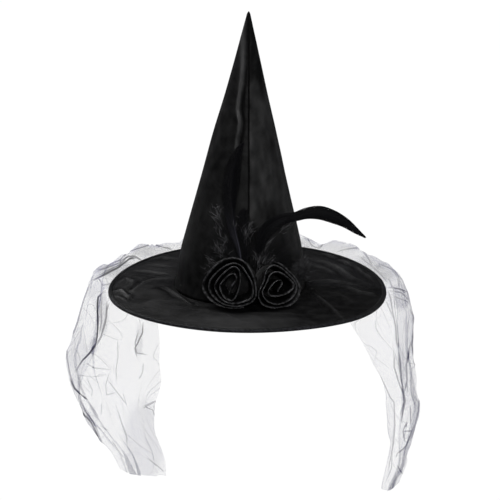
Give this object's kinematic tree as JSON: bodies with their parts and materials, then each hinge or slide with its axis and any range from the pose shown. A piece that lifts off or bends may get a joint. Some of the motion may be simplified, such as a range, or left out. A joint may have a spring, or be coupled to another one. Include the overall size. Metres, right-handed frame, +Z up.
{
  "type": "witch hat with a net veil",
  "caption": "Black pointed satin witch hat with a round bound brim, rolled roses and feathers on the front, and a sheer net veil that hangs behind in two tails.",
  "frame": {"origin": "middle of the head opening, half way through the brim's thickness", "axes": "+Z up along the crown, -Y towards the front where the roses are, +X to the right of someone who looks at the front"},
  "size_m": [0.4929, 0.4068, 0.7044],
  "materials": {
    "black_satin": "satin",
    "bias_tape": "satin",
    "rose_satin": "satin",
    "black_feather": "soft sheen",
    "black_net": "sheer net"
  },
  "bodies": {
    "root": {"crown": "black_satin", "brim": "black_satin", "brim_binding": "bias_tape", "rose_left": "rose_satin", "rose_right": "rose_satin", "down_left": "black_feather", "down_right": "black_feather", "feather_tall": "black_feather", "feather_short": "black_feather", "feather_curved": "black_feather", "veil": "black_net"}
  },
  "joints": []
}
